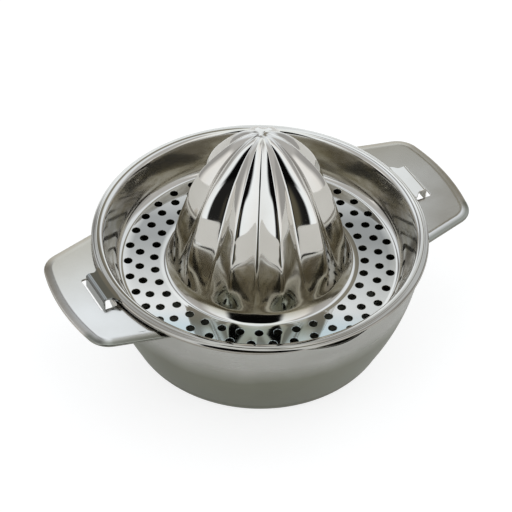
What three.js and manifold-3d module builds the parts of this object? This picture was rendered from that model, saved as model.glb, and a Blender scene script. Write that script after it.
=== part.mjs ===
// Two-piece citrus juicer, pressed from polished steel sheet.
// A round bowl with a pouring lip and two welded handle plates carries a perforated
// strainer, whose fluted cone reams the fruit. The strainer lifts off: its rim rests on the
// bowl's edge, and its two tabs hang through slots in the handles, so that it can't turn.
// Lengths are millimetres. +Z is up, the handles lie along X, the pouring lip faces -Y, and
// the origin is the middle of the base, on the table.

import * as THREE from "three";
import { mergeVertices } from "three/addons/utils/BufferGeometryUtils.js";
import Module from "manifold-3d";

// Sheets and fits
const bowlSheet = 0.8;
const strainerSheet = 0.8;
const handleSheet = 1;
const seatGap = 0.3; // left open between sheets that touch
const cutOverrun = 4; // how far a cutting tool reaches past both faces of a sheet

// Bowl
const bowlRimRadius = 66.3; // outside, at the upper edge
const bowlBaseRadius = 51.8; // outside, where the wall's line meets the table
const bowlHeight = 49.8;
const wallBulge = 1.7; // how far the wall swells past a straight line from base to rim
const baseCornerReach = 6; // how far the base corner's rounding reaches along base and wall

// Pouring lip
const lipReach = 1.2; // how far the lip stands out
const lipDrop = 1.3; // how far the edge dips there
const lipDepth = 11; // how far down the wall the lip's swelling reaches
const lipHalfAngle = THREE.MathUtils.degToRad(14);
const dropHalfAngle = THREE.MathUtils.degToRad(27);

// Strainer: its rim, its trough and their holes
const rimOverhang = 0.9; // gap between the bowl's edge and the rim's turned-down lip
const rimWidth = 4.9; // from the trough's wall to the rim's outer edge
const rimFall = 0.4; // how far the rim falls from its crest to its outer edge
const rimEdgeRadius = 0.7;
const rimLipHeight = 1.7; // from the rim's crest to the lip's lower edge
const troughDepth = 15.45; // from the rim's crest to the perforated floor
const troughWallLean = 5.3; // how much wider the trough is at its rim than at its floor
const troughRimDrop = 1.5; // how far below the crest the wall's bend starts
const troughCornerReach = 2.8; // rounding between the trough's wall and floor
const holeRadius = 1.73;
const outerRingInset = 4.4; // from the trough's corner to the outer ring of holes
const middleRingStep = 4.6; // from the outer ring to the middle ring
const innerRingStep = 6; // from the middle ring to the inner ring
const footInset = 2.8; // from the inner ring of holes to the cone's foot
const holesPerRing = 36;
const ringPhaseShares = [0.41, 0.8, 0.16]; // outer, middle and inner ring, in hole pitches

// Reaming cone
const coneHeight = 66.4; // from the perforated floor to the tip
const skirtFlare = 9.6; // how much wider the cone's foot is than the ridges above its skirt
const coneWaistHeight = 14.6; // where the skirt ends and the ridges are at their widest
const fluteCount = 10;
const fluteDepth = 5.2; // from a ridge down to a valley, where the cone is widest
const fluteFadeTop = 24; // the valleys start to run out at this height above the floor
const fluteFadeFoot = 4; // and have run out at this one
const ridgePhase = THREE.MathUtils.degToRad(5);
const ridgeSharpnessShare = 0.94;
const domeRadiusPower = 0.9;
const domeHeightPower = 1.15;

// Handles
const handleReach = 21.9; // from the bowl's rim to the plate's end
const handleEndHalfWidth = 25.8; // at the plate's end, before its corners are rounded
const handleFlare = THREE.MathUtils.degToRad(14.2); // how each side opens towards the bowl
const handleCornerRadius = 10.2;
const handleDrop = 2.15; // from the bowl's edge down to the plate's upper face
const borderWidth = 3.4; // the plate's sloping border
const borderFall = 0.8;
const flangeHeight = 6; // the welded flange, turned down along the bowl's wall
const flangeHalfAngle = THREE.MathUtils.degToRad(25);

// Locking tabs, and the slots that they hang through
const tabReach = 5.4; // from the strainer's rim to the tab's bend
const tabWidth = 16.5;
const tabDrop = 0.5; // from the rim's crest down to the tab's upper face
const tabBendRadius = 1.4;
const tabRootFlare = 2.4; // how much the tab widens on each side where it leaves the rim
const tabBelowPlate = 1.6; // how far the tab's leg reaches below the handle plate
const slotSideGap = 1.35; // between the tab and the slot's ends
const slotOuterGap = 1.6; // between the tab's leg and the slot's outer side
const slotInnerGap = 4.5; // between the tab's leg and the slot's inner side

// How finely round forms are divided
const turnSteps = 60;
const curveSteps = 3;
const holeSides = 6;
const stepsPerFlute = 6;
const domeSteps = 9;
const arcSteps = 8;

// Places that follow from the sizes above
const quarterTurn = Math.PI / 2;
const fullTurn = 2 * Math.PI;
const axis = new THREE.Vector2(0, 0);
const floorTop = bowlHeight + seatGap + strainerSheet - troughDepth;
const rimRadius = bowlRimRadius + rimOverhang + strainerSheet;
const rimCrestRadius = bowlRimRadius - bowlSheet / 2;
const troughRimRadius = rimRadius - rimWidth;
const troughFloorRadius = troughRimRadius - troughWallLean;
const outerRingRadius = troughFloorRadius - outerRingInset;
const middleRingRadius = outerRingRadius - middleRingStep;
const innerRingRadius = middleRingRadius - innerRingStep;
const coneFootRadius = innerRingRadius - footInset;
const coneRadius = coneFootRadius - skirtFlare; // over the ridges, where they are widest
const plateTop = bowlHeight - handleDrop;
const plateEnd = bowlRimRadius + handleReach;
const legOuter = rimRadius + tabReach;
const legInner = legOuter - strainerSheet;
const tabTop = bowlHeight + seatGap + strainerSheet - tabDrop;
const legFoot = plateTop - handleSheet - tabBelowPlate;

const manifoldLibrary = await Module();
manifoldLibrary.setup();

// Solids

function toSolid(geometry) {
  const bare = geometry.clone();
  bare.deleteAttribute("normal");
  bare.deleteAttribute("uv");
  const merged = mergeVertices(bare);
  return new manifoldLibrary.Manifold(
    new manifoldLibrary.Mesh({
      numProp: 3,
      vertProperties: new Float32Array(merged.attributes.position.array),
      triVerts: new Uint32Array(merged.index.array),
    }),
  );
}

function toGeometry(solid) {
  const mesh = solid.getMesh();
  const geometry = new THREE.BufferGeometry();
  geometry.setAttribute("position", new THREE.BufferAttribute(mesh.vertProperties, 3));
  geometry.setIndex(new THREE.BufferAttribute(mesh.triVerts, 1));
  return geometry;
}

// A closed body from rings of points, each joined to the next. Its two ends run to the given
// tips, or are closed flat. Seen from the first ring, the points of each ring run clockwise.
function ringBody(rings, tips = []) {
  const size = rings[0].length;
  const last = (rings.length - 1) * size;
  const points = [...rings.flat(), ...tips];
  const index = [];
  for (let here = 0; here < last; here += size) {
    for (let j = 0; j < size; j += 1) {
      const k = (j + 1) % size;
      index.push(here + j, here + k, here + size + k);
      index.push(here + j, here + size + k, here + size + j);
    }
  }
  if (tips.length > 0) {
    const tip = last + size;
    for (let j = 0; j < size; j += 1) {
      const k = (j + 1) % size;
      index.push(tip, k, j, tip + 1, last + j, last + k);
    }
  } else {
    for (const [a, b, c] of capTriangles(rings[0])) index.push(c, b, a);
    for (const [a, b, c] of capTriangles(rings.at(-1))) index.push(last + a, last + b, last + c);
  }
  return meshGeometry(points, index);
}

function meshGeometry(points, index) {
  const positions = points.flatMap((point) => [point.x, point.y, point.z]);
  const geometry = new THREE.BufferGeometry();
  geometry.setAttribute("position", new THREE.Float32BufferAttribute(positions, 3));
  geometry.setIndex(index);
  return geometry;
}

// Triangles over a flat ring of points, seen along the ring's own normal.
function capTriangles(ring) {
  const normal = new THREE.Vector3();
  ring.forEach((point, i) => {
    const next = ring[(i + 1) % ring.length];
    normal.add(new THREE.Vector3().crossVectors(point, next));
  });
  const turn = new THREE.Quaternion().setFromUnitVectors(
    normal.normalize(),
    new THREE.Vector3(0, 0, 1),
  );
  const flat = ring.map((point) => point.clone().applyQuaternion(turn));
  return THREE.ShapeUtils.triangulateShape(
    flat.map((point) => new THREE.Vector2(point.x, point.y)),
    [],
  );
}

// A round body from an outline, whose points give radius and height. The outline starts and
// ends on the axis, or is closed here.
function revolve(outline) {
  const closed = outline[0].x === 0 ? outline : [...outline, outline[0]];
  return new THREE.LatheGeometry(closed, turnSteps).rotateX(quarterTurn);
}

function extrudeFlat(outline, height, bottom) {
  const geometry = new THREE.ExtrudeGeometry(new THREE.Shape(outline), {
    depth: height,
    bevelEnabled: false,
  });
  return geometry.translate(0, 0, bottom);
}

// Outlines

// The points of an outline moved sideways by a distance, to the right of its direction.
function offsetOutline(points, distance) {
  return points.map((point, i) => {
    const before = points[Math.max(i - 1, 0)];
    const after = points[Math.min(i + 1, points.length - 1)];
    const along = after.clone().sub(before).normalize();
    return new THREE.Vector2(point.x + along.y * distance, point.y - along.x * distance);
  });
}

// An outline for a sheet whose material lies on the right of the given face: that face on
// its way back, after the other one.
function sheetOutline(face, thickness) {
  return [...offsetOutline(face, thickness), ...face.toReversed()];
}

// Points along an arc from one angle to another.
function arc(centre, radius, from, to, steps) {
  return Array.from({ length: steps + 1 }, (_, i) => {
    const angle = THREE.MathUtils.lerp(from, to, i / steps);
    return new THREE.Vector2(radius, 0).rotateAround(axis, angle).add(centre);
  });
}

function polar(radius, angle, height) {
  return new THREE.Vector3(radius * Math.cos(angle), radius * Math.sin(angle), height);
}

function smoothRise(from, to, value) {
  return THREE.MathUtils.smoothstep(value, from, to);
}

// One soft hump over the angles within halfAngle of the middle.
function hump(angle, halfAngle) {
  if (Math.abs(angle) >= halfAngle) return 0;
  return Math.cos((quarterTurn * angle) / halfAngle) ** 2;
}

// Bowl

// The outside of the wall above the rounded base corner; its height grows evenly along it.
function bowlWallCurve() {
  const corner = new THREE.Vector2(bowlBaseRadius, 0);
  const edge = new THREE.Vector2(bowlRimRadius, bowlHeight);
  const start = corner.clone().lerp(edge, baseCornerReach / corner.distanceTo(edge));
  const middle = start.clone().lerp(edge, 0.5);
  middle.x += 2 * wallBulge;
  return new THREE.QuadraticBezierCurve(start, middle, edge);
}

function bowlWallRadius(height) {
  const wall = bowlWallCurve();
  return wall.getPoint((height - wall.v0.y) / (wall.v2.y - wall.v0.y)).x;
}

const plateRootRadius = bowlWallRadius(plateTop) + seatGap;

function makeBowl() {
  const wall = bowlWallCurve();
  const corner = new THREE.QuadraticBezierCurve(
    new THREE.Vector2(bowlBaseRadius - baseCornerReach, 0),
    new THREE.Vector2(bowlBaseRadius, 0),
    wall.v0,
  );
  const outside = [
    new THREE.Vector2(0, 0),
    ...corner.getPoints(curveSteps),
    ...wall.getPoints(2 * curveSteps).slice(1),
  ];
  const inside = offsetOutline(outside, -bowlSheet).reverse();
  inside[0].y = bowlHeight; // the edge is cut level
  const geometry = revolve([...outside, ...inside]);
  shapePouringLip(geometry);
  return geometry;
}

// The edge swells outward and dips over a short arc that faces -Y.
function shapePouringLip(geometry) {
  const points = geometry.attributes.position;
  for (let i = 0; i < points.count; i += 1) {
    const x = points.getX(i);
    const y = points.getY(i);
    const z = points.getZ(i);
    const radius = Math.hypot(x, y);
    if (radius > 0 && y < 0) {
      const angle = Math.atan2(x, -y);
      const rise = smoothRise(bowlHeight - lipDepth, bowlHeight, z);
      const swell = 1 + (lipReach * hump(angle, lipHalfAngle) * rise) / radius;
      points.setXYZ(i, x * swell, y * swell, z - lipDrop * hump(angle, dropHalfAngle) * rise);
    }
  }
}

// Strainer

function dishFace() {
  const crest = floorTop + troughDepth;
  const rimBend = crest - troughRimDrop;
  const leanAngle = Math.atan2(troughWallLean, troughDepth - troughRimDrop);
  const cornerRise = troughCornerReach * Math.cos(leanAngle);
  const cornerRun = troughCornerReach * Math.sin(leanAngle);
  const face = new THREE.Path();
  face.moveTo(coneFootRadius + seatGap / 2, floorTop);
  face.lineTo(troughFloorRadius - troughCornerReach, floorTop);
  face.quadraticCurveTo(
    troughFloorRadius,
    floorTop,
    troughFloorRadius + cornerRun,
    floorTop + cornerRise,
  );
  face.lineTo(troughRimRadius, rimBend);
  face.quadraticCurveTo(
    troughRimRadius + troughRimDrop * Math.tan(leanAngle),
    crest - rimFall / 2,
    rimCrestRadius,
    crest,
  );
  face.lineTo(rimRadius - rimEdgeRadius, crest - rimFall);
  face.quadraticCurveTo(rimRadius, crest - rimFall, rimRadius, crest - rimFall - rimEdgeRadius);
  face.lineTo(rimRadius, crest - rimLipHeight);
  return face.getPoints(curveSteps);
}

function makeStrainerDish() {
  const dish = toSolid(revolve(sheetOutline(dishFace(), strainerSheet)));
  const tabs = [0, 1].map((side) => toSolid(makeTab().rotateZ(side * Math.PI)));
  const tabbed = tabs.reduce((solid, tab) => solid.add(tab), dish);
  return toGeometry(tabbed.subtract(makeHoleCutters()));
}

// All the holes' cutting pins as one solid.
function makeHoleCutters() {
  const radii = [outerRingRadius, middleRingRadius, innerRingRadius];
  const pinHeight = strainerSheet + 2 * cutOverrun;
  const pitch = fullTurn / holesPerRing;
  const pins = radii.flatMap((radius, ring) =>
    Array.from({ length: holesPerRing }, (_, i) => {
      const pin = new THREE.CylinderGeometry(holeRadius, holeRadius, pinHeight, holeSides);
      const angle = (i + ringPhaseShares[ring]) * pitch;
      const place = polar(radius, angle, floorTop - strainerSheet / 2);
      pin.rotateX(quarterTurn).rotateZ(angle).translate(place.x, place.y, place.z);
      return toSolid(pin);
    }),
  );
  return pins.reduce((all, pin) => all.add(pin));
}

// A locking tab on the +X side: it runs level off the rim, bends, and hangs straight down.
function makeTab() {
  const side = new THREE.Path();
  side.moveTo(rimRadius, tabTop);
  side.lineTo(legOuter - tabBendRadius, tabTop);
  side.quadraticCurveTo(legOuter, tabTop, legOuter, tabTop - tabBendRadius);
  side.lineTo(legOuter, legFoot);
  const section = sheetOutline(side.getPoints(curveSteps), strainerSheet);
  const near = section.map((point) => new THREE.Vector3(point.x, -tabWidth / 2, point.y));
  const far = section.map((point) => new THREE.Vector3(point.x, tabWidth / 2, point.y));
  const bentLeg = toSolid(ringBody([far, near]));
  const root = toSolid(extrudeFlat(tabRootOutline(), strainerSheet, tabTop - strainerSheet));
  return toGeometry(bentLeg.add(root));
}

// The level part of the tab from above; it widens in a rounded corner where it joins the rim.
function tabRootOutline() {
  const half = tabWidth / 2;
  const wide = half + tabRootFlare;
  const insideRim = rimRadius - strainerSheet / 2;
  const flareStart = Math.sqrt(insideRim ** 2 - wide ** 2);
  const flareEnd = rimRadius + tabRootFlare;
  const rootX = bowlRimRadius + seatGap;
  const outline = new THREE.Path();
  outline.moveTo(rootX, -wide);
  outline.lineTo(flareStart, -wide);
  outline.quadraticCurveTo(rimRadius, -half, flareEnd, -half);
  outline.lineTo(flareEnd, half);
  outline.quadraticCurveTo(rimRadius, half, flareStart, wide);
  outline.lineTo(rootX, wide);
  return outline.getPoints(curveSteps);
}

// Reaming cone

// Radius and height over the ridges, from the foot to the tip.
function ridgeProfile() {
  const waist = new THREE.Vector2(coneRadius, coneWaistHeight);
  const skirt = new THREE.CubicBezierCurve(
    new THREE.Vector2(coneFootRadius - seatGap / 2, 0),
    new THREE.Vector2(coneFootRadius - skirtFlare / 2, 0),
    new THREE.Vector2(coneRadius, coneWaistHeight / 2),
    waist,
  );
  const dome = Array.from({ length: domeSteps }, (_, i) => {
    const angle = quarterTurn * (1 - (i + 1) / domeSteps);
    const rise = coneHeight - coneWaistHeight;
    const radius = coneRadius * Math.sin(angle) ** domeRadiusPower;
    return new THREE.Vector2(radius, coneWaistHeight + rise * Math.cos(angle) ** domeHeightPower);
  });
  return [...skirt.getPoints(2 * curveSteps), ...dome];
}

// The same heights down in the valleys, which run out towards the foot.
function valleyProfile() {
  return ridgeProfile().map((point) => {
    const depthShare = smoothRise(fluteFadeFoot, fluteFadeTop, point.y);
    const depth = (fluteDepth * depthShare * point.x) / coneRadius;
    return new THREE.Vector2(point.x - depth, point.y);
  });
}

// How close an angle is to a ridge: 1 on it, 0 in a valley, with both slightly rounded.
function ridgeShare(angle) {
  const wave = ridgeSharpnessShare * Math.cos(fluteCount * (angle - ridgePhase));
  const slack = Math.acos(ridgeSharpnessShare) / Math.PI;
  return (1 - Math.acos(wave) / Math.PI - slack) / (1 - 2 * slack);
}

// Rings round the cone from its foot to just below its tip, and the tip itself.
function conePoints(ridge, valley) {
  const steps = fluteCount * stepsPerFlute;
  const rings = ridge.slice(0, -1).map((top, level) =>
    Array.from({ length: steps }, (_, j) => {
      const angle = ridgePhase + (j * fullTurn) / steps;
      const place = valley[level].clone().lerp(top, ridgeShare(angle));
      return polar(place.x, angle, floorTop + place.y);
    }),
  );
  return { rings, tip: new THREE.Vector3(0, 0, floorTop + ridge.at(-1).y) };
}

function makeReamerCone() {
  const ridge = ridgeProfile();
  const valley = valleyProfile();
  const outer = conePoints(ridge, valley);
  const inner = conePoints(
    offsetOutline(ridge, -strainerSheet),
    offsetOutline(valley, -strainerSheet),
  );
  const rings = [...inner.rings.toReversed(), ...outer.rings];
  return ringBody(rings, [inner.tip, outer.tip]);
}

// Handles

// Where the side of the +X plate, drawn in by inset, lies at a distance reach from the axis.
function sidePoint(reach, inset) {
  const slope = Math.tan(handleFlare);
  const lift = handleEndHalfWidth - inset / Math.cos(handleFlare) + plateEnd * slope;
  const spread = 1 + slope ** 2;
  const root = Math.sqrt((lift * slope) ** 2 - spread * (lift ** 2 - reach ** 2));
  const x = (lift * slope + root) / spread;
  return new THREE.Vector2(x, lift - slope * x);
}

// The free edge of the +X handle plate, drawn in by inset: from the bowl's wall on the -Y
// side out to the corner, along the round end, and back to the wall on the +Y side.
function plateEdge(inset) {
  const centre = sidePoint(plateEnd - handleCornerRadius, handleCornerRadius);
  const cornerRadius = handleCornerRadius - inset;
  const endAngle = centre.angle();
  const sideAngle = quarterTurn - handleFlare;
  const far = [
    ...arc(centre, cornerRadius, endAngle, sideAngle, curveSteps),
    sidePoint(plateRootRadius, inset),
  ];
  const near = far.map((point) => new THREE.Vector2(point.x, -point.y)).reverse();
  const end = arc(axis, plateEnd - inset, -endAngle, endAngle, arcSteps).slice(1, -1);
  return [...near, ...end, ...far];
}

// The plate is flat inside its border, and the border slopes down to the free edge.
function makePlate() {
  const outer = plateEdge(0);
  const inner = plateEdge(borderWidth);
  const rootAngle = inner.at(-1).angle();
  const rootArc = arc(axis, plateRootRadius, rootAngle, -rootAngle, arcSteps).slice(1, -1);
  const field = [...inner, ...rootArc];
  const rim = outer.length;
  const top = [
    ...outer.map((point) => new THREE.Vector3(point.x, point.y, plateTop - borderFall)),
    ...field.map((point) => new THREE.Vector3(point.x, point.y, plateTop)),
  ];
  const under = top.map((point) => new THREE.Vector3(point.x, point.y, point.z - handleSheet));

  const faces = THREE.ShapeUtils.triangulateShape(field, []).map((face) =>
    face.map((corner) => rim + corner),
  );
  for (let i = 0; i + 1 < rim; i += 1) {
    faces.push([i, i + 1, rim + i + 1], [i, rim + i + 1, rim + i]);
  }
  const index = faces.flatMap(([a, b, c]) => [
    ...[a, b, c],
    ...[top.length + c, top.length + b, top.length + a],
  ]);
  const alongRoot = [...top.keys()].slice(rim + inner.length - 1);
  const outline = [...outer.keys(), ...alongRoot, rim];
  outline.forEach((a, i) => {
    const b = outline[(i + 1) % outline.length];
    index.push(a, top.length + a, top.length + b, a, top.length + b, b);
  });
  return meshGeometry([...top, ...under], index);
}

// The flange that is welded to the bowl's wall.
function makeFlange() {
  const top = plateTop - handleSheet / 2;
  const low = top - flangeHeight;
  const face = Array.from({ length: curveSteps + 1 }, (_, i) => {
    const height = THREE.MathUtils.lerp(low, top, i / curveSteps);
    return new THREE.Vector2(bowlWallRadius(height) + seatGap, height);
  });
  const section = sheetOutline(face, handleSheet);
  const steps = 2 * arcSteps;
  const rings = Array.from({ length: steps + 1 }, (_, i) => {
    const angle = flangeHalfAngle * (1 - (2 * i) / steps);
    return section.map((point) => polar(point.x, angle, point.y));
  });
  return ringBody(rings);
}

function makeSlotCutter() {
  const inner = legInner - slotInnerGap;
  const outer = legOuter + slotOuterGap;
  const half = tabWidth / 2 + slotSideGap;
  const outline = [
    new THREE.Vector2(inner, -half),
    new THREE.Vector2(outer, -half),
    new THREE.Vector2(outer, half),
    new THREE.Vector2(inner, half),
  ];
  const height = handleSheet + borderFall + 2 * cutOverrun;
  return extrudeFlat(outline, height, plateTop - handleSheet - cutOverrun);
}

function makeHandle() {
  const plate = toSolid(makePlate()).subtract(toSolid(makeSlotCutter()));
  return toGeometry(plate.add(toSolid(makeFlange())));
}

// Finishes

function steel(name, colour, roughness) {
  return new THREE.MeshStandardMaterial({ name, color: colour, roughness, metalness: 1 });
}

const satinSteel = steel("satin_steel", 0xa5a49d, 0.32);
const plateSteel = steel("plate_steel", 0xc4c4c0, 0.2);
const mirrorSteel = steel("mirror_steel", 0xd2d1cc, 0.1);

// Assembly

function piece(name, geometry, material) {
  const mesh = new THREE.Mesh(geometry, material);
  mesh.name = name;
  return mesh;
}

const juicer = new THREE.Group();

juicer.add(piece("bowl", makeBowl(), satinSteel));

const handleSides = { handle_right: 0, handle_left: Math.PI };
for (const [name, turn] of Object.entries(handleSides)) {
  const handle = piece(name, makeHandle(), plateSteel);
  handle.rotation.z = turn;
  juicer.add(handle);
}

const strainer = new THREE.Group();
strainer.add(piece("strainer_dish", makeStrainerDish(), mirrorSteel));
strainer.add(piece("reamer_cone", makeReamerCone(), mirrorSteel));
juicer.add(strainer);

export default juicer;
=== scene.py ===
"""Two-piece citrus juicer in pressed and polished steel: the finished look.

Forms are worked out in millimetres and scaled to metres where a mesh is made. +Z is up, the
handles lie along X, the pouring lip faces -Y, and the origin is the middle of the base.
"""

import math

import bpy
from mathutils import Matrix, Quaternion, Vector
from mathutils.geometry import delaunay_2d_cdt


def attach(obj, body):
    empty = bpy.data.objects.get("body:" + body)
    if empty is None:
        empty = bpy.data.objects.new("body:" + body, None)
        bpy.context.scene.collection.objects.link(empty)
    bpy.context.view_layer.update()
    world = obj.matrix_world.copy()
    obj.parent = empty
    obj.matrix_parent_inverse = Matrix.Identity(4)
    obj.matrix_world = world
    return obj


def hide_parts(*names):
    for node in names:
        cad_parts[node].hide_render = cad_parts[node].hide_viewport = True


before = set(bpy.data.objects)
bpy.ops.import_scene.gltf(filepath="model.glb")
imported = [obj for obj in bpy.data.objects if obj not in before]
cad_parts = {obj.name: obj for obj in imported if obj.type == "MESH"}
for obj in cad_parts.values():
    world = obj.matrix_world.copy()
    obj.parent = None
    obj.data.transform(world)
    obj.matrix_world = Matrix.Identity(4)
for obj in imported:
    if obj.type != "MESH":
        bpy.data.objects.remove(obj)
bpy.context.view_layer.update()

MM = 0.001
TURN = 2 * math.pi
COLUMNS = 320  # points in a full ring of the bowl and the strainer

# Sizes of the bowl, in millimetres

BOWL_SHEET = 0.8
BOWL_RIM_RADIUS = 66.3
BOWL_BASE_RADIUS = 52.6
BOWL_HEIGHT = 49.8
WALL_BULGE = 2.5  # how far the wall swells past a straight line from base to rim
BASE_CORNER = 6.0  # where the rounding from the base into the wall starts and ends
BASE_RINGS = (8, 20, 32, 42)
EDGE_DROP = 0.2
EDGE_ROUNDING = ((0.05, 0.02), (0.4, 0.0), (0.75, 0.02))  # in from the rim, down from the edge
LIP_REACH = 1.2
LIP_DEPTH = 11.0
LIP_HALF_ANGLE = math.radians(14)
LIP_DROP = 3.0
DROP_HALF_ANGLE = math.radians(38)

# Sizes of the handles, in millimetres

PLATE = 1.0
PLATE_TOP = 47.65
PLATE_END = 88.2
PLATE_HALF = 25.8
PLATE_FLARE = math.radians(14.2)
PLATE_CORNER = 10.2
PLATE_SINK = 0.15  # how deep the plate reaches into the bowl's wall
BORDER = 3.4
BORDER_FALL = 0.8
BORDER_SOFT = 0.16  # the softened part of the crease, as a share of the border
BORDER_ROWS = (0.5, 1.0, 1.6, 2.2, 2.7)
FLAT_INSET = 4.3  # from here in the plate is level
ROUND_INSET = 0.3  # from here out the plate's edge is rounded
UPPER_ROUNDING = ((0.12, 0.08), (0.02, 0.25), (0.0, 0.5))  # inset, and how far down
LOWER_ROUNDING = ((0.02, 0.75), (0.12, 0.92), (0.3, 1.0))
SLOT_INNER = 68.1
SLOT_OUTER = 75.0
SLOT_HALF = 9.6
SLOT_CORNER = 0.8
SLOT_ROWS = ((0.15, 0.0), (0.04, 0.05), (0.0, 0.18), (0.0, PLATE - 0.1), (0.1, PLATE))
FLANGE_DEPTH = 6.0
FLANGE_REACH = 1.2  # from the bowl's wall to the flange's outer face
FLANGE_GAP = 0.1
FLANGE_SINK = 0.1  # how far it reaches up into the plate
FLANGE_FILLET = 1.2
FLANGE_FACE_FOOT = 0.3  # how far above the foot its outer face ends
FLANGE_BACK_ROW = 2.0  # how far above the foot one more row lies on its back
FLANGE_ROUNDING = ((1.05, 0.06), (0.8, 0.0))  # out from the bowl's wall, up from the foot
FLANGE_END = 0.999  # the radius at its two ends, as a share of the rest
FLANGE_HALF_ANGLE = math.radians(25)

# Sizes of the strainer, in millimetres

SHEET = 0.8
CREST = 50.9
CREST_RADIUS = 65.9
RIM_RADIUS = 68.0
RIM_FALL = 0.4
RIM_EDGE = 1.35
RIM_LIP_FOOT = 48.55
RIM_LIP_ROUNDING = 0.15
RIM_CUT = 1.05  # how far the rim's lip is cut back above the pouring lip
OUTER_ROLL = 0.1  # how far below the crest the control points of the rim's curves lie
INNER_ROLL = 0.15
WALL_TOP = (63.1, 49.4)
WALL_FOOT_RADIUS = 57.8
WALL_FOOT_RISE = 4.6
WALL_LEAN = math.atan(5.3 / 13.95)
FLOOR = 35.45
FLAT_OUTER = 55.4
FLAT_INNER = 40.5
FLAT_MARGIN = 0.05  # from the wall's curve to the level floor's outer ring
HOLES = 36
HOLE_SIDES = 20
HOLE_RADIUS = 1.73
HOLE_ROUNDING = 0.14
HOLE_BURR = 0.1
RINGS = ((53.4, 0.41), (48.8, 0.8), (42.8, 0.16))  # radius, and the first hole in pitches

CONE_HEIGHT = 66.4
CONE_FORM = (  # height, radius over the ridges, radius in the valleys
    (0.0, 40.4, 40.4),
    (0.12, 38.9, 38.9),
    (0.5, 37.9, 37.9),
    (1.3, 37.05, 37.05),
    (2.3, 36.2, 36.2),
    (3.5, 35.45, 35.35),
    (4.8, 35.2, 34.65),
    (6.6, 35.05, 33.8),
    (8.8, 34.95, 32.75),
    (12.0, 34.7, 31.35),
    (16.0, 34.0, 29.95),
    (20.0, 33.1, 28.6),
    (24.2, 31.95, 27.23),
    (28.5, 30.6, 25.85),
    (32.5, 29.4, 24.55),
    (36.6, 28.2, 23.2),
    (40.6, 26.6, 21.8),
    (44.7, 24.6, 20.2),
    (48.5, 22.2, 18.4),
    (52.0, 19.6, 16.5),
    (56.0, 16.2, 13.8),
    (59.5, 12.9, 11.0),
    (62.5, 9.4, 8.0),
    (64.7, 5.7, 4.9),
    (66.0, 2.5, 2.2),
    (CONE_HEIGHT, 0.0, 0.0),
)
CONE_STEPS = 5  # rows from one height of the form to the next
FLUTES = 10
RIDGE_PHASE = math.radians(5)
RIDGE_SHARPNESS = 0.98

TAB_ROOT = BOWL_RIM_RADIUS + 0.4
TAB_TOP = 50.42
TAB_END = 73.4
TAB_FOOT = 45.2
TAB_BEND = 1.4
TAB_HALF = 8.25
TAB_FLARE = 2.4
TAB_FLARE_START = TAB_ROOT + 0.3
TAB_FLARE_POWER = 1.5
TAB_EDGE = 0.16
TAB_EDGE_DEPTHS = (0.2, 0.8)  # as shares of the sheet
TAB_COLUMNS = (-1, -0.8, -0.5, 0, 0.5, 0.8, 1)  # as shares of half the flat face
RIGHT_TAB_RISE = 0.42
LEFT_TAB_RISE = 0.95


# Mesh helpers


def smoothstep(low, high, value):
    t = min(max((value - low) / (high - low), 0.0), 1.0)
    return t * t * (3 - 2 * t)


def lerp(a, b, t):
    return a + (b - a) * t


def between_points(a, b, t):
    return lerp(a[0], b[0], t), lerp(a[1], b[1], t)


def bezier(points, steps):
    """Points along a quadratic Bezier curve in the plane."""
    made = []
    for i in range(steps + 1):
        layer = points
        while len(layer) > 1:
            layer = [between_points(a, b, i / steps) for a, b in zip(layer, layer[1:])]
        made.append(layer[0])
    return made


def offset(points, distance):
    """An outline moved sideways, to the right of its direction."""
    made = []
    for i, (x, y) in enumerate(points):
        ax, ay = points[max(i - 1, 0)]
        bx, by = points[min(i + 1, len(points) - 1)]
        length = math.hypot(bx - ax, by - ay)
        made.append((x + (by - ay) / length * distance, y - (bx - ax) / length * distance))
    return made


def line(a, b, steps):
    """Points from one point to another, without the first."""
    return [between_points(a, b, i / steps) for i in range(1, steps + 1)]


def arc(centre, radius, start, end, steps):
    """Points along part of a circle, from one angle to the other."""
    made = []
    for i in range(steps + 1):
        a = lerp(start, end, i / steps)
        made.append((centre[0] + radius * math.cos(a), centre[1] + radius * math.sin(a)))
    return made


def turned(points, angle):
    """Points turned round the upright axis."""
    c, s = math.cos(angle), math.sin(angle)
    return [(x * c - y * s, x * s + y * c, z) for x, y, z in points]


def ring(radius, height, count=COLUMNS, centre=(0.0, 0.0)):
    """A level circle of points."""
    made = []
    for i in range(count):
        a = TURN * i / count
        made.append((centre[0] + radius * math.cos(a), centre[1] + radius * math.sin(a), height))
    return made


def reversed_rows(rows):
    return [row[::-1] for row in rows]


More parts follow.
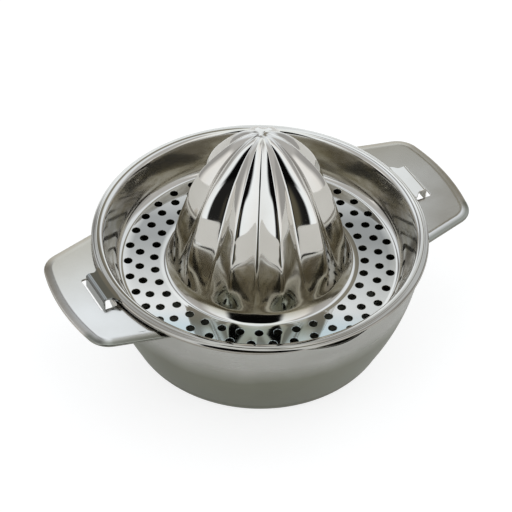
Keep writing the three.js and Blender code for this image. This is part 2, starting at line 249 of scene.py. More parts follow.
class Skin:
    """Collects the points and faces of one mesh."""

    def __init__(self):
        self.points = []
        self.faces = []

    def add(self, points):
        start = len(self.points)
        self.points.extend(points)
        return list(range(start, len(self.points)))

    def band(self, a, b, closed=True):
        """Quads between two rows of equal length."""
        count = len(a)
        for i in range(count if closed else count - 1):
            j = (i + 1) % count
            self.faces.append((a[i], a[j], b[j], b[i]))

    def bands(self, rows, closed=True):
        for a, b in zip(rows, rows[1:]):
            self.band(a, b, closed)

    def fan(self, row, tip):
        """Triangles from a closed row to one point."""
        for i, a in enumerate(row):
            self.faces.append((a, row[(i + 1) % len(row)], tip))

    def bar(self, rows):
        """A strip of closed rows with a face over each of its ends."""
        self.bands(reversed_rows(rows))
        self.faces.append(tuple(rows[0]))
        self.faces.append(tuple(reversed(rows[-1])))

    def make(self, name, body, slot, material, replaces=(), sharp=40):
        """A piece that rides on a body; edges steeper than the sharp angle stay crisp."""
        mesh = bpy.data.meshes.new(name)
        mesh.from_pydata([Vector(p) * MM for p in self.points], [], self.faces)
        mesh.update()
        mesh.shade_smooth()
        mesh.set_sharp_from_angle(angle=math.radians(sharp))
        mesh.materials.append(material)
        thing = bpy.data.objects.new(name, mesh)
        bpy.context.scene.collection.objects.link(thing)
        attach(thing, body)
        if replaces:
            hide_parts(*replaces)


def inside(outline, x, y):
    """Whether a place lies inside an outline."""
    hit = False
    for i, a in enumerate(outline):
        b = outline[(i + 1) % len(outline)]
        if (a[1] > y) != (b[1] > y):
            if x < a[0] + (y - a[1]) / (b[1] - a[1]) * (b[0] - a[0]):
                hit = not hit
    return hit


def level_region(skin, outer, holes, flip, hollow_outline):
    """Fills the level region between an outer row and its holes with triangles.

    Where the outer row has hollows, the triangles that lie in them are left out.
    """
    rows = [outer, *holes]
    order = [index for row in rows for index in row]
    owner = {index: number for number, row in enumerate(rows) for index in row}
    place = {index: i for i, index in enumerate(order)}
    edges = []
    for row in rows:
        for i, index in enumerate(row):
            edges.append((place[index], place[row[(i + 1) % len(row)]]))
    flat = [Vector(skin.points[index][:2]) for index in order]
    outline = [skin.points[index] for index in outer]
    nearest = 1e-6
    _, _, triangles, sources, _, _ = delaunay_2d_cdt(flat, edges, [], 0, nearest, True)
    for triangle in triangles:
        corners = [order[sources[corner][0]] for corner in triangle]
        owners = {owner[corner] for corner in corners}
        if len(owners) == 1 and owners != {0}:
            continue
        if owners == {0} and hollow_outline:
            x = sum(skin.points[c][0] for c in corners) / 3
            y = sum(skin.points[c][1] for c in corners) / 3
            if not inside(outline, x, y):
                continue
        skin.faces.append(tuple(reversed(corners)) if flip else tuple(corners))


# Materials


class Nodes:
    """Short names for building a node material."""

    def __init__(self, name):
        self.material = bpy.data.materials.new(name)
        self.material.use_nodes = True
        self.tree = self.material.node_tree
        self.shader = self.tree.nodes["Principled BSDF"]
        self.at = self.new("ShaderNodeTexCoord").outputs["Object"]

    def new(self, kind, **settings):
        node = self.tree.nodes.new(kind)
        for key, value in settings.items():
            setattr(node, key, value)
        return node

    def link(self, a, b):
        self.tree.links.new(a, b)

    def math(self, operation, a, b=None):
        node = self.new("ShaderNodeMath", operation=operation)
        for socket, value in zip(node.inputs, (a, b)):
            if value is None:
                continue
            if isinstance(value, (int, float)):
                socket.default_value = value
            else:
                self.link(value, socket)
        return node.outputs[0]

    def product(self, first, *others):
        for other in others:
            first = self.math("MULTIPLY", first, other)
        return first

    def weighted(self, a, a_weight, b, b_weight):
        """The sum of two values, each multiplied by its weight."""
        return self.math("ADD", self.product(a, a_weight), self.product(b, b_weight))

    def between(self, value, low, high, bottom, top):
        node = self.new("ShaderNodeMapRange")
        self.link(value, node.inputs["Value"])
        for socket, number in zip(node.inputs[1:5], (low, high, bottom, top)):
            socket.default_value = number
        return node.outputs["Result"]

    def fade(self, length, start, end, least=0.0):
        """From the least amount at one length to one at the other, both in millimetres."""
        if start < end:
            return self.between(length, start * MM, end * MM, least, 1)
        return self.between(length, end * MM, start * MM, 1, least)

    def place(self, axis):
        """The place along one axis of the object: 0, 1 or 2 for x, y or height."""
        split = self.new("ShaderNodeSeparateXYZ")
        self.link(self.at, split.inputs[0])
        return split.outputs[axis]

    def height(self):
        return self.place(2)

    def radius(self):
        x, y = self.place(0), self.place(1)
        return self.math("SQRT", self.math("ADD", self.product(x, x), self.product(y, y)))

    def scaled(self, vector):
        node = self.new("ShaderNodeVectorMath", operation="MULTIPLY")
        self.link(self.at, node.inputs[0])
        node.inputs[1].default_value = vector
        return node.outputs[0]

    def polar(self, round_scale, height_scale, radius_scale=0.0):
        """Coordinates that run round the axis and up it, for marks left by turning."""
        angle = self.math("ARCTAN2", self.place(1), self.place(0))
        join = self.new("ShaderNodeCombineXYZ")
        for socket, value in zip(
            join.inputs,
            (
                self.product(self.math("SINE", angle), round_scale),
                self.product(self.math("COSINE", angle), round_scale),
                self.weighted(self.height(), height_scale, self.radius(), radius_scale),
            ),
        ):
            self.link(value, socket)
        return join.outputs[0]

    def noise(self, vector, scale, detail, roughness=0.5):
        node = self.new("ShaderNodeTexNoise")
        node.inputs["Scale"].default_value = scale
        node.inputs["Detail"].default_value = detail
        node.inputs["Roughness"].default_value = roughness
        self.link(vector, node.inputs["Vector"])
        return node.outputs["Fac"]

    def tint(self, value, dark, light):
        node = self.new("ShaderNodeMix", data_type="RGBA")
        self.link(value, node.inputs["Factor"])
        node.inputs[6].default_value = (*dark, 1)
        node.inputs[7].default_value = (*light, 1)
        return node.outputs[2]

    def with_painted_shade(self, colour, amount, shade):
        """Multiplies a colour by a painted shade where the amount is one."""
        node = self.new("ShaderNodeMix", data_type="RGBA", blend_type="MULTIPLY")
        self.link(amount, node.inputs["Factor"])
        self.link(colour, node.inputs[6])
        node.inputs[7].default_value = (*shade, 1)
        return node.outputs[2]

    def bump(self, value, depth, under=None):
        node = self.new("ShaderNodeBump")
        node.inputs["Distance"].default_value = depth
        node.inputs["Strength"].default_value = 1.0
        self.link(value, node.inputs["Height"])
        if under is not None:
            self.link(under, node.inputs["Normal"])
        return node.outputs["Normal"]


CLOUD_SCALE = 60
MIDDLE_OF_NOISE = (0.3, 0.7)
# Metallic where the metal is dimmed so that a painted brown reflection shows
PAINTED_DIMMING_METALLIC = 0.76
# Roughness added where the first layer of painted light lies
FIRST_LAYER_ROUGHNESS = 0.07


def steel(name, dark, light, roughness, wave, marks, marks_depth, painted_light):
    """Polished steel.

    Its colour lies between dark and light, and its roughness between the two values given. wave
    is the scale and depth of the sheet's soft unevenness. marks gives the coordinates of the
    polishing lines, and the last argument gives the painted light: layers of painted shade and
    painted reflection, each multiplying the colour, the first of them rougher too, and where the
    metal is dimmed.
    """
    n = Nodes(name)
    cloud = n.noise(n.at, CLOUD_SCALE, 4)
    lines = n.noise(marks(n), 1, 4, 0.6)
    colour = n.tint(n.between(cloud, *MIDDLE_OF_NOISE, 0, 1), dark, light)
    layers, painted_dimming = painted_light(n)
    # Each layer is painted shade or painted reflection, multiplied into the colour
    for amount, shade in layers:
        colour = n.with_painted_shade(colour, amount, shade)
    n.link(colour, n.shader.inputs["Base Color"])
    # Where the metal is dimmed, the painted brown colour shows in place of a reflection
    if painted_dimming:
        n.link(n.between(painted_dimming, 0, 1, 1, PAINTED_DIMMING_METALLIC), n.shader.inputs["Metallic"])
    else:
        n.shader.inputs["Metallic"].default_value = 1.0
    rough = n.between(n.weighted(cloud, 0.5, lines, 0.5), *MIDDLE_OF_NOISE, *roughness)
    rough = n.math("ADD", rough, n.product(layers[0][0], FIRST_LAYER_ROUGHNESS))
    n.link(rough, n.shader.inputs["Roughness"])
    scale, depth = wave
    swell = n.bump(n.noise(n.at, scale, 1), depth)
    n.link(n.bump(lines, marks_depth, swell), n.shader.inputs["Normal"])
    return n.material


# The way towards the back, as an angle from the handles' axis, and painted shades and reflections

BACK_TURN = math.radians(61)
# Painted brown reflection on the reamer's skirt and the trough's wall
PAINTED_BROWN_REFLECTION = (0.47, 0.43, 0.32)
# Painted grey shade on the far part of the floor
FAR_FLOOR_PAINTED_SHADE = (0.45, 0.455, 0.46)
# Painted bluish reflection on the near part of the floor
NEAR_FLOOR_PAINTED_REFLECTION = (0.80, 0.93, 1.0)
# Painted shade on the near part of the rim
NEAR_RIM_PAINTED_SHADE = (0.62, 0.61, 0.59)
# Painted shade on the left tab
LEFT_TAB_PAINTED_SHADE = (0.71, 0.76, 0.81)
# Painted shade towards the foot of the bowl's wall
BOWL_FOOT_PAINTED_SHADE = (0.51, 0.525, 0.445)
# Painted shade towards the back of the handles
FAR_PLATE_PAINTED_SHADE = (0.72, 0.69, 0.62)
# Painted shade on the handles' sloping borders
BORDER_PAINTED_SHADE = (0.88, 0.84, 0.79)
# Painted shade on the near border, beside the rim
NEAR_BORDER_PAINTED_SHADE = (0.48, 0.51, 0.49)


def strainer_painted_light(n):
    """The strainer's painted reflections and shade: browner on the reamer's skirt and the trough's
    wall, greyer elsewhere.
    """
    height, radius, side = n.height(), n.radius(), n.place(0)
    back = n.weighted(n.place(0), math.cos(BACK_TURN), n.place(1), math.sin(BACK_TURN))
    cloud = n.noise(n.polar(5, 260), 1.5, 4, 0.6)
    uneven_height = n.weighted(height, 1, cloud, 4 * MM)
    # Painted brown reflection on the reamer's skirt
    skirt = n.product(
        n.fade(radius, 41, 40),
        n.fade(uneven_height, FLOOR + 26, FLOOR + 18),
        n.fade(height, FLOOR + 0.4, FLOOR + 2.6),
        0.75,
    )
    # Painted brown reflection on the trough's wall, where the metal is dimmed too
    wall = n.product(
        n.fade(radius, 56, 57.5),
        n.fade(radius, 69, 68.4),
        n.fade(height, FLOOR + 14, FLOOR + 12.6),
        n.between(cloud, 0.35, 0.65, 0.45, 1),
        n.fade(height, FLOOR + 1.4, FLOOR + 4.4),
    )
    floor = n.product(
        n.fade(height, FLOOR + 1.6, FLOOR + 0.3),
        n.fade(radius, 38, 41),
        n.fade(radius, 56, 52.5, least=0.1),
    )
    # Painted grey shade on the far part of the floor
    far_floor = n.product(n.fade(back, -26, 12), n.fade(back, 40, 24, least=0.3), floor)
    # Painted bluish reflection on the near part of the floor
    near_floor = n.product(n.fade(back, -30, -40), floor)
    # Painted shade on the near part of the rim
    near_rim = n.product(n.fade(radius, 64.3, 65.2), n.fade(back, 20, -10))
    # Painted shade on the left tab
    left_tab = n.product(n.fade(radius, 68.4, 69), n.fade(side, -10, -20))
    layers = [
        (n.math("ADD", skirt, wall), PAINTED_BROWN_REFLECTION),
        (far_floor, FAR_FLOOR_PAINTED_SHADE),
        (near_floor, NEAR_FLOOR_PAINTED_REFLECTION),
        (near_rim, NEAR_RIM_PAINTED_SHADE),
        (left_tab, LEFT_TAB_PAINTED_SHADE),
    ]
    return layers, wall


def bowl_painted_shade(n):
    """The bowl's wall, with painted shade that darkens it towards its foot."""
    cloud = n.noise(n.polar(3, 40), 1.3, 2)
    uneven_height = n.weighted(n.height(), 1, cloud, 6 * MM)
    return [(n.fade(uneven_height, 41, 30), BOWL_FOOT_PAINTED_SHADE)], None


def plate_painted_shade(n):
    """The handles' painted shade: a little duller and browner towards the back and on their
    borders.
    """
    # Painted shade towards the back of the handles
    far = n.fade(n.place(1), -6, 26)
    near = n.fade(n.place(1), -16.5, -19.5)
    # Painted shade on the sloping border, darkest on the near side by the rim
    border = n.fade(n.height(), PLATE_TOP - 0.15, PLATE_TOP - 0.5)
    layers = [
        (far, FAR_PLATE_PAINTED_SHADE),
        (border, BORDER_PAINTED_SHADE),
        (n.product(border, near), NEAR_BORDER_PAINTED_SHADE),
    ]
    return layers, None


mirror = steel(
    name="polished steel",
    dark=(0.62, 0.60, 0.56),
    light=(0.68, 0.66, 0.625),
    roughness=(0.03, 0.07),
    wave=(38, 0.00006),
    marks=lambda n: n.polar(160, 14, 14),
    marks_depth=0.0000005,
    painted_light=strainer_painted_light,
)
satin = steel(
    name="satin steel",
    dark=(0.45, 0.448, 0.425),
    light=(0.50, 0.498, 0.478),
    roughness=(0.22, 0.30),
    wave=(24, 0.00005),
    marks=lambda n: n.polar(2, 2600, 2600),
    marks_depth=0.000003,
    painted_light=bowl_painted_shade,
)
plate_steel = steel(
    name="handle steel",
    dark=(0.60, 0.585, 0.56),
    light=(0.66, 0.65, 0.63),
    roughness=(0.13, 0.19),
    wave=(30, 0.00005),
    marks=lambda n: n.scaled((60, 2200, 400)),
    marks_depth=0.0000015,
    painted_light=plate_painted_shade,
)


# The bowl


def bowl_wall():
    """Start, control point and end of the curve of the wall's outside."""
    corner, edge = (BOWL_BASE_RADIUS, 0.0), (BOWL_RIM_RADIUS, BOWL_HEIGHT)
    start = between_points(corner, edge, BASE_CORNER / math.dist(corner, edge))
    x, z = between_points(start, edge, 0.5)
    return start, (x + 2 * WALL_BULGE, z), edge


def bowl_wall_radius(height):
    """The radius of the wall's outside at a height."""
    start, middle, edge = bowl_wall()
    t = (height - start[1]) / (edge[1] - start[1])
    return lerp(lerp(start[0], middle[0], t), lerp(middle[0], edge[0], t), t)


def hump(x, y, half):
    """One in the middle of the pouring lip, falling softly to zero at the half angle."""
    angle = math.atan2(x, -y)
    return math.cos(math.pi / 2 * angle / half) ** 2 if abs(angle) < half else 0.0


def pouring_lip(point):
    """A point of the bowl, moved outward and down where it belongs to the pouring lip."""
    x, y, z = point
    radius = math.hypot(x, y)
    if y >= 0:
        return point
    rise = smoothstep(BOWL_HEIGHT - LIP_DEPTH, BOWL_HEIGHT, z)
    swell = 1 + LIP_REACH * hump(x, y, LIP_HALF_ANGLE) * rise / radius
    return x * swell, y * swell, z - LIP_DROP * hump(x, y, DROP_HALF_ANGLE) * rise


def make_bowl():
    """Rows from the middle of the base up the outside, over the edge and down the inside."""
    start, middle, edge = bowl_wall()
    face = [(radius, 0.0) for radius in BASE_RINGS]
    face += bezier([(BOWL_BASE_RADIUS - BASE_CORNER, 0), (BOWL_BASE_RADIUS, 0), start], 12)
    face += bezier([start, middle, edge], 48)[1:]
    inner = offset(face, -BOWL_SHEET)
    face[-1] = (BOWL_RIM_RADIUS, BOWL_HEIGHT - EDGE_DROP)
    inner[-1] = (BOWL_RIM_RADIUS - BOWL_SHEET, BOWL_HEIGHT - EDGE_DROP)
    rounding = [(BOWL_RIM_RADIUS - inward, BOWL_HEIGHT - down) for inward, down in EDGE_ROUNDING]
    skin = Skin()
    rows = []
    for radius, height in face + rounding + inner[::-1]:
        rows.append(skin.add([pouring_lip(point) for point in ring(radius, height)]))
    skin.bands(rows)
    low, high = skin.add([(0, 0, 0), (0, 0, BOWL_SHEET)])
    skin.fan(rows[0][::-1], low)
    skin.fan(rows[-1], high)
    skin.make("bowl_shell", "bowl_body", "satin_steel", satin, ["bowl"])


# The handles


def side_point(reach, inset):
    """The point of the plate's flaring side, at an inset, that lies at a distance from the axis."""
    slope = math.tan(PLATE_FLARE)
    lift = PLATE_HALF - inset / math.cos(PLATE_FLARE) + PLATE_END * slope
    spread = 1 + slope**2
    root = math.sqrt((lift * slope) ** 2 - spread * (lift**2 - reach**2))
    x = (lift * slope + root) / spread
    return x, lift - slope * x


PLATE_ROOT = bowl_wall_radius(PLATE_TOP) - PLATE_SINK


def plate_outline(inset):
    """The free edge at an inset, from the wall on the -Y side to the wall on the +Y side."""
    corner = side_point(PLATE_END - PLATE_CORNER, PLATE_CORNER)
    end_angle, side_angle = math.atan2(corner[1], corner[0]), math.pi / 2 - PLATE_FLARE
    far = arc(corner, PLATE_CORNER - inset, end_angle, side_angle, steps=14)
    far += line(far[-1], side_point(PLATE_ROOT, inset), steps=12)
    near = [(x, -y) for x, y in reversed(far)]
    end = arc((0.0, 0.0), PLATE_END - inset, -end_angle, end_angle, steps=24)
    return near + end[1:-1] + far


def border_height(inset):
    """How far below the plate's flat the border lies, with the crease softened."""
    share = inset / BORDER
    if share < 1 - BORDER_SOFT:
        return BORDER_FALL * (1 - share)
    if share > 1 + BORDER_SOFT:
        return 0.0
    rest = (1 + BORDER_SOFT - share) / (2 * BORDER_SOFT)
    return BORDER_FALL * BORDER_SOFT * rest**2


def slot_outline(grow, height):
    """The slot with rounded corners, wider by an amount on all sides."""
    corner = SLOT_CORNER + grow
    inner, outer = SLOT_INNER - grow + corner, SLOT_OUTER + grow - corner
    side = SLOT_HALF + grow - corner
    centres = ((outer, side), (inner, side), (inner, -side), (outer, -side))
    points = []
    for quarter, centre in enumerate(centres):
        points += arc(centre, corner, math.pi / 2 * quarter, math.pi / 2 * (quarter + 1), steps=4)
    return [(x, y, height) for x, y in points]


def make_handle(name, turn, replaced):
    """A plate in rows from its level middle out round the edge and back underneath."""
    skin = Skin()

    def edge_row(inset, height):
        return skin.add(turned([(x, y, height) for x, y in plate_outline(inset)], turn))

    insets = [ROUND_INSET, *BORDER_ROWS]
    insets += [BORDER * (1 + BORDER_SOFT * k / 4) for k in range(-4, 5)]
    insets += [FLAT_INSET]
    lowest = PLATE_TOP - border_height(ROUND_INSET)
    top = [edge_row(inset, PLATE_TOP - border_height(inset)) for inset in reversed(insets)]
    top += [edge_row(inset, lowest - down) for inset, down in UPPER_ROUNDING]
    low = [edge_row(inset, lowest - down) for inset, down in LOWER_ROUNDING]
    low += [edge_row(inset, PLATE_TOP - PLATE - border_height(inset)) for inset in insets[1:]]
    skin.bands(top + low, closed=False)

    slot = []
    for grow, down in SLOT_ROWS:
        slot.append(skin.add(turned(slot_outline(grow, PLATE_TOP - down), turn)))
    skin.bands(reversed_rows(slot))

    x, y = plate_outline(FLAT_INSET)[-1]
    half = math.atan2(y, x)
    wall = arc((0.0, 0.0), PLATE_ROOT, half, -half, steps=24)[1:-1]
    for row, hole, height, flip in (
        (top[0], slot[0], PLATE_TOP, False),
        (low[-1], slot[-1], PLATE_TOP - PLATE, True),
    ):
        root = skin.add(turned([(x, y, height) for x, y in wall], turn))
        level_region(skin, row + root, [hole], flip, hollow_outline=True)
    skin.make(name, "bowl_body", "plate_steel", plate_steel, [replaced])
    make_flange(name + "_flange", turn)


def make_flange(name, turn):
    """The strip that is turned down from the plate and welded to the bowl's wall."""
    under_plate = PLATE_TOP - PLATE
    top = under_plate + FLANGE_SINK
    foot = PLATE_TOP - PLATE / 2 - FLANGE_DEPTH
    fillet = FLANGE_FILLET
    centre = (FLANGE_REACH + fillet, top - fillet)
    from_wall = arc(centre, fillet, math.pi / 2, math.pi, steps=6)
    from_wall += line(from_wall[-1], (FLANGE_REACH, foot + FLANGE_FACE_FOOT), steps=8)
    section = [(bowl_wall_radius(z) + out, z) for out, z in from_wall]
    section += [(bowl_wall_radius(foot) + out, foot + up) for out, up in FLANGE_ROUNDING]
    for z in (foot, foot + FLANGE_BACK_ROW, under_plate):
        section.append((bowl_wall_radius(z) + FLANGE_GAP, z))
    skin = Skin()
    rows = []
    steps = 48
    for i in range(steps + 1):
        a = lerp(-FLANGE_HALF_ANGLE, FLANGE_HALF_ANGLE, i / steps) + turn
        share = 1.0 if 0 < i < steps else FLANGE_END
        rows.append(skin.add(turned([(r * share, 0.0, z) for r, z in section], a)))
    skin.bar(rows)
    skin.make(name, "bowl_body", "plate_steel", plate_steel)


# The strainer and its reamer


def dish_face():
    """Rim and trough in section, from the rim's lip in to the level floor."""
    edge_top = (RIM_RADIUS - RIM_EDGE, CREST - RIM_FALL)
    crest = (CREST_RADIUS, CREST)
    sine, cosine = math.sin(WALL_LEAN), math.cos(WALL_LEAN)
    wall_foot = (WALL_FOOT_RADIUS + WALL_FOOT_RISE * sine, FLOOR + WALL_FOOT_RISE * cosine)
    flat_edge = (FLAT_OUTER + FLAT_MARGIN, FLOOR)
    face = [(RIM_RADIUS, RIM_LIP_FOOT + RIM_LIP_ROUNDING)]
    face += arc((edge_top[0], edge_top[1] - RIM_EDGE), RIM_EDGE, 0.0, math.pi / 2, steps=8)
    over_edge = (lerp(edge_top[0], crest[0], 0.5), CREST - OUTER_ROLL)
    face += bezier([edge_top, over_edge, crest], 6)[1:]
    over_wall = (WALL_TOP[0] + (CREST - WALL_TOP[1]) * math.tan(WALL_LEAN), CREST - INNER_ROLL)
    face += bezier([crest, over_wall, WALL_TOP], 12)[1:]
    face += line(WALL_TOP, wall_foot, steps=8)
    face += bezier([wall_foot, (WALL_FOOT_RADIUS, FLOOR), flat_edge], 12)[1:]
    return face


def cone_sections():
    """The ridge and the valley in section, on smooth curves through the cone's form."""
    form = [Vector(row) for row in CONE_FORM]
    before = form[0] * 2 - form[1]
    beyond_tip = form[-2] * Vector((1, -1, -1))
    points = [before, *form, beyond_tip]
    made = []
    for p0, p1, p2, p3 in zip(points, points[1:], points[2:], points[3:]):
        t0, t1, t2 = ((b - a).length ** 0.5 for a, b in ((p0, p1), (p1, p2), (p2, p3)))
        m1 = (p1 - p0) / t0 - (p2 - p0) / (t0 + t1) + (p2 - p1) / t1
        m2 = (p2 - p1) / t1 - (p3 - p1) / (t1 + t2) + (p3 - p2) / t2
        for i in range(CONE_STEPS):
            t = i / CONE_STEPS
            made.append(
                p1 * (2 * t**3 - 3 * t**2 + 1)
                + m1 * t1 * (t**3 - 2 * t**2 + t)
                + p2 * (3 * t**2 - 2 * t**3)
                + m2 * t1 * (t**3 - t**2)
            )
    return [(row[1], row[0]) for row in made], [(row[2], row[0]) for row in made]


def ridge_share(angle):
    """One on a ridge and zero in a valley, even between them and rounded at both."""
    wave = RIDGE_SHARPNESS * math.cos(FLUTES * (angle - RIDGE_PHASE))
    slack = math.acos(RIDGE_SHARPNESS) / math.pi
    return (1 - math.acos(wave) / math.pi - slack) / (1 - 2 * slack)


def cone_row(ridge, valley, foot):
    made = []
    for i in range(COLUMNS):
        a = TURN * i / COLUMNS
        r, z = between_points(valley, ridge, ridge_share(a))
        made.append((r * math.cos(a), r * math.sin(a), foot + z))
    return made


def add_dish(skin):
    """Rows of the rim and trough, from the floor's underside round the lip to the floor's top."""
    face = dish_face()
    back = offset(face, -SHEET)
    inner_lip = RIM_RADIUS - SHEET
    back[0] = (inner_lip, RIM_LIP_FOOT + RIM_LIP_ROUNDING)
    foot = [(inner_lip + RIM_LIP_ROUNDING, RIM_LIP_FOOT)]
    foot += [(RIM_RADIUS - RIM_LIP_ROUNDING, RIM_LIP_FOOT)]
    top = CREST - RIM_FALL
    rows = []
    for r, z in back[::-1] + foot + face:
        share = min((top - z) / (top - RIM_LIP_FOOT), 1)
        cut = RIM_CUT * share if r > CREST_RADIUS and share > 0 else 0
        rows.append(
            skin.add([(x, y, z + cut * hump(x, y, DROP_HALF_ANGLE)) for x, y, z in ring(r, z)])
        )
    skin.bands(reversed_rows(rows))
    return rows


def add_holes(skin):
    """The holes' walls, and their upper and lower edges as rows."""
    drill = (  # how much wider than the hole, and how far below the floor
        (HOLE_ROUNDING, 0.0),
        (HOLE_ROUNDING * 0.3, HOLE_ROUNDING * 0.3),
        (0.0, HOLE_ROUNDING),
        (0.0, SHEET - HOLE_BURR),
        (HOLE_BURR, SHEET),
    )
    upper, lower = [], []
    for radius, phase in RINGS:
        for i in range(HOLES):
            a = (i + phase) * TURN / HOLES
            centre = (radius * math.cos(a), radius * math.sin(a))
            rows = []
            for wider, down in drill:
                rows.append(skin.add(ring(HOLE_RADIUS + wider, FLOOR - down, HOLE_SIDES, centre)))
            skin.bands(reversed_rows(rows))
            upper.append(rows[0])
            lower.append(rows[-1])
    return upper, lower


def add_floor_and_cone(skin, border, holes, ridge, valley, height):
    """One side of the level floor at a height, and of the cone that rises from it."""
    under = height < FLOOR
    inner = skin.add(ring(FLAT_INNER, height))
    outer = skin.add(ring(FLAT_OUTER, height))
    if under:
        skin.band(outer[::-1], border[::-1])
    else:
        skin.band(border[::-1], outer[::-1])
    level_region(skin, outer, [inner, *holes], under, hollow_outline=False)
    levels = [skin.add(cone_row(a, b, height)) for a, b in zip(ridge, valley)]
    tip = skin.add([(0, 0, height + CONE_HEIGHT)])[0]
    if under:
        skin.bands([inner, *levels])
        skin.fan(levels[-1][::-1], tip)
    else:
        skin.bands(reversed_rows([inner, *levels]))
        skin.fan(levels[-1], tip)


def make_strainer():
    """One pressing, its face and its back joined round the rim's lip and in the holes."""
    skin = Skin()
    dish = add_dish(skin)
    upper, lower = add_holes(skin)
    ridge, valley = cone_sections()
    add_floor_and_cone(skin, dish[-1], upper, ridge, valley, FLOOR)
    ridge_back, valley_back = (
        [(r, z + SHEET) for r, z in offset(section, -SHEET)] for section in (ridge, valley)
    )
    add_floor_and_cone(skin, dish[0], lower, ridge_back, valley_back, FLOOR - SHEET)
    replaced = ["strainer_dish", "reamer_cone"]
    skin.make("strainer", "strainer_body", "mirror_steel", mirror, replaced, sharp=50)


def make_tab(name, turn, rise):
    """A locking tab: off the rim with a slight rise, bent, and hanging straight down."""
    side = [(TAB_ROOT, TAB_TOP)]
    side += line(side[0], (TAB_END - TAB_BEND, TAB_TOP + rise), steps=11)
    bend_centre = (TAB_END - TAB_BEND, TAB_TOP + rise - TAB_BEND)
    side += arc(bend_centre, TAB_BEND, math.pi / 2, 0.0, steps=8)[1:]
    side += line(side[-1], (TAB_END, TAB_FOOT), steps=4)
    skin = Skin()
    rows = []
    for (x, z), (back_x, back_z) in zip(side, offset(side, SHEET)):
        flare = 0
        if z >= TAB_TOP:
            flare = 1 - smoothstep(TAB_FLARE_START, RIM_RADIUS + TAB_FLARE, x)
        half = TAB_HALF + TAB_FLARE * flare**TAB_FLARE_POWER
        face = [((half - TAB_EDGE) * column, 0.0) for column in TAB_COLUMNS]
        back = [(y, 1.0) for y, depth in reversed(face)]
        edge = [(half, depth) for depth in TAB_EDGE_DEPTHS]
        other_edge = [(-y, depth) for y, depth in reversed(edge)]
        loop = face + edge + back + other_edge
        points = [(lerp(x, back_x, depth), y, lerp(z, back_z, depth)) for y, depth in loop]
        rows.append(skin.add(turned(points, turn)))
    skin.bar(rows)
    skin.make(name, "strainer_body", "mirror_steel", mirror)


# The studio

AZIMUTH = math.radians(29.08)
AWAY = Vector((math.sin(AZIMUTH), math.cos(AZIMUTH), 0))
RIGHT = Vector((math.cos(AZIMUTH), -math.sin(AZIMUTH), 0))
UP = Vector((0, 0, 1))
ELEVATION = math.radians(42.993)
DISTANCE = 0.919
ROLL = math.radians(1.394)
LENS = 158.84
SENSOR = 36
SHIFT = (-0.00695, 0.00547)

DULL = 0.9  # roughness of the floor and the table
FLOOR_HALF = 3.0
FLOOR_HEIGHT = -0.0001
FLOOR_COLOUR = (0.35, 0.35, 0.35)
FLOOR_GLOW = 0.8
TABLE_RADIUS = 0.45
TABLE_SIDES = 96
TABLE_SHIFT = 0.1
TABLE_HEIGHT = -0.0003
TABLE_COLOUR = (0.82, 0.8, 0.76)
TABLE_GLOW = 0.19

BRIGHT = (1.25, 1.33, 1.4)
SOFT = (1.15, 1.2, 1.25)
BACK_LOW = (1.15, 1.22, 1.28)
BACK_MIDDLE = (1.0, 1.06, 1.12)
LEFT_PANEL = (1.1, 1.18, 1.27)
RIGHT_PANEL = (1.05, 1.12, 1.2)
BROWN_PANEL = (0.34, 0.325, 0.275)
TOP_LIGHT = (1.18, 1.24, 1.26)

# What shines from each azimuth, in degrees from the viewer towards the right

LOW_RING = (
    (-180, BACK_LOW),
    (-150, BACK_LOW),
    (-140, 0.45),
    (-98, 0.45),
    (-88, 1.15),
    (-60, SOFT),
    (-34, BRIGHT),
    (-31, 0.02),
    (-13, 0.02),
    (-7, (0.12, 0.11, 0.08)),
    (6, (0.13, 0.12, 0.085)),
    (12, 0.02),
    (23, 0.01),
    (26, BRIGHT),
    (80, 1.15),
    (90, 0.45),
    (140, 0.45),
    (150, BACK_LOW),
    (180, BACK_LOW),
)
SIDE_RING = (
    (-180, BACK_MIDDLE),
    (-176, (1.12, 1.19, 1.26)),
    (-171, BRIGHT),
    (-160, (1.15, 1.22, 1.3)),
    (-153, 0.3),
    (-145, 0.3),
    (-140.5, LEFT_PANEL),
    (-126, LEFT_PANEL),
    (-106, 0.6),
    (-70, 0.6),
    (-58, SOFT),
    (-40, BRIGHT),
    (-34, 0.003),
    (26, 0.003),
    (32, BRIGHT),
    (58, 1.15),
    (68, 0.6),
    (108, 0.6),
    (120, RIGHT_PANEL),
    (150, RIGHT_PANEL),
    (158, BROWN_PANEL),
    (174.6, BROWN_PANEL),
    (175.8, (0.97, 1.04, 1.1)),
    (180, BACK_MIDDLE),
)
TOP_RING = ((-180, TOP_LIGHT), (180, TOP_LIGHT))
LOW_TO_SIDE = (14, 22)  # elevations between which one ring blends into the next
SIDE_TO_TOP = (72, 76)


def make_camera():
    target = Vector((0, 0, FLOOR * MM))
    place = target - AWAY * DISTANCE * math.cos(ELEVATION) + UP * DISTANCE * math.sin(ELEVATION)
    data = bpy.data.cameras.new("camera")
    data.sensor_width = SENSOR
    data.lens = LENS
    data.shift_x, data.shift_y = SHIFT
    camera = bpy.data.objects.new("camera", data)
    camera.location = place
    camera.rotation_mode = "QUATERNION"
    aim = (target - place).to_track_quat("-Z", "Y")
    camera.rotation_quaternion = aim @ Quaternion((0, 0, 1), ROLL)
    bpy.context.scene.collection.objects.link(camera)
    bpy.context.scene.camera = camera


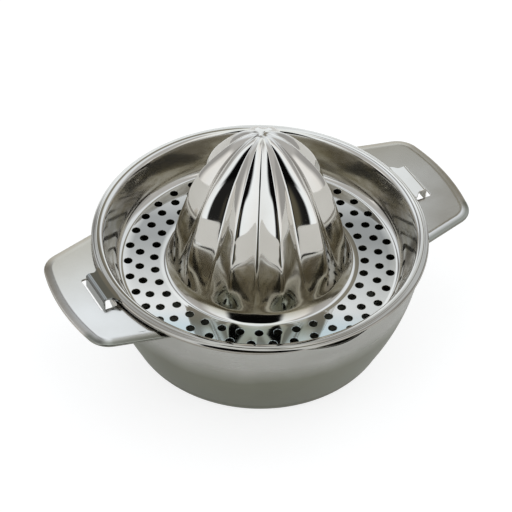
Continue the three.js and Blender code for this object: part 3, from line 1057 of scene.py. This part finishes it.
def flat_sheet(name, outline, height, colour, glow):
    """A dull level sheet that glows a little, as part of the stage."""
    mesh = bpy.data.meshes.new(name)
    mesh.from_pydata([(x, y, 0) for x, y in outline], [], [tuple(range(len(outline)))])
    n = Nodes(name)
    n.shader.inputs["Base Color"].default_value = (*colour, 1)
    n.shader.inputs["Roughness"].default_value = DULL
    n.shader.inputs["Specular IOR Level"].default_value = 0.0
    n.shader.inputs["Emission Color"].default_value = (1, 1, 1, 1)
    n.shader.inputs["Emission Strength"].default_value = glow
    mesh.materials.append(n.material)
    sheet = bpy.data.objects.new(name, mesh)
    sheet.location = (0, 0, height)
    bpy.context.scene.collection.objects.link(sheet)
    return sheet


def make_floor():
    """A pale floor, and the small white table that the steel mirrors in its place."""
    w = FLOOR_HALF
    square = [(-w, -w), (w, -w), (w, w), (-w, w)]
    floor = flat_sheet("floor", square, FLOOR_HEIGHT, FLOOR_COLOUR, FLOOR_GLOW)
    floor.visible_glossy = False
    floor.visible_diffuse = False
    floor.visible_shadow = False
    middle = AWAY * TABLE_SHIFT
    disc = [(x, y) for x, y, z in ring(TABLE_RADIUS, 0.0, TABLE_SIDES, (middle.x, middle.y))]
    table = flat_sheet("table", disc, TABLE_HEIGHT, TABLE_COLOUR, TABLE_GLOW)
    table.visible_camera = False


class World(Nodes):
    """The studio round the object: a bright tent with a dark side behind the camera."""

    def __init__(self):
        world = bpy.data.worlds.new("studio")
        bpy.context.scene.world = world
        world.use_nodes = True
        self.tree = world.node_tree
        self.tree.nodes.clear()
        self.at = self.new("ShaderNodeTexCoord").outputs["Generated"]

    def along(self, direction):
        node = self.new("ShaderNodeVectorMath", operation="DOT_PRODUCT")
        self.link(self.at, node.inputs[0])
        node.inputs[1].default_value = direction
        return node.outputs["Value"]

    def light_round(self, share, stops):
        """The colours of the stops, blended along a share of the full turn."""
        node = self.new("ShaderNodeValToRGB")
        self.link(share, node.inputs["Fac"])
        elements = node.color_ramp.elements
        while len(elements) < len(stops):
            elements.new(0.5)
        for element, (azimuth, colour) in zip(elements, stops):
            element.position = (azimuth + 180) / 360
            if isinstance(colour, float):
                colour = (colour, colour, colour)
            element.color = (*colour, 1)
        return node.outputs["Color"]

    def blend(self, height, elevations, below, above):
        """One colour below two elevations and another above them."""
        share = self.new("ShaderNodeMapRange", interpolation_type="SMOOTHSTEP")
        self.link(height, share.inputs["Value"])
        for socket, elevation in zip(("From Min", "From Max"), elevations):
            share.inputs[socket].default_value = math.sin(math.radians(elevation))
        node = self.new("ShaderNodeMix", data_type="RGBA")
        self.link(share.outputs["Result"], node.inputs["Factor"])
        self.link(below, node.inputs[6])
        self.link(above, node.inputs[7])
        return node.outputs[2]

    def make(self):
        toward, aside, up = self.along(-AWAY), self.along(RIGHT), self.along(UP)
        angle = self.math("ARCTAN2", aside, toward)
        share = self.math("ADD", self.math("DIVIDE", angle, TURN), 0.5)
        low, side, top = (
            self.light_round(share, stops) for stops in (LOW_RING, SIDE_RING, TOP_RING)
        )
        colour = self.blend(up, LOW_TO_SIDE, low, side)
        colour = self.blend(up, SIDE_TO_TOP, colour, top)
        back = self.new("ShaderNodeBackground")
        self.link(colour, back.inputs["Color"])
        out = self.new("ShaderNodeOutputWorld")
        self.link(back.outputs[0], out.inputs["Surface"])


def make_studio():
    make_camera()
    make_floor()
    World().make()
    view = bpy.context.scene.view_settings
    view.view_transform = "Standard"
    view.look = "None"


make_bowl()
make_handle("right_handle", 0.0, "handle_right")
make_handle("left_handle", math.pi, "handle_left")
make_strainer()
make_tab("right_tab", 0.0, RIGHT_TAB_RISE)
make_tab("left_tab", math.pi, LEFT_TAB_RISE)
make_studio()
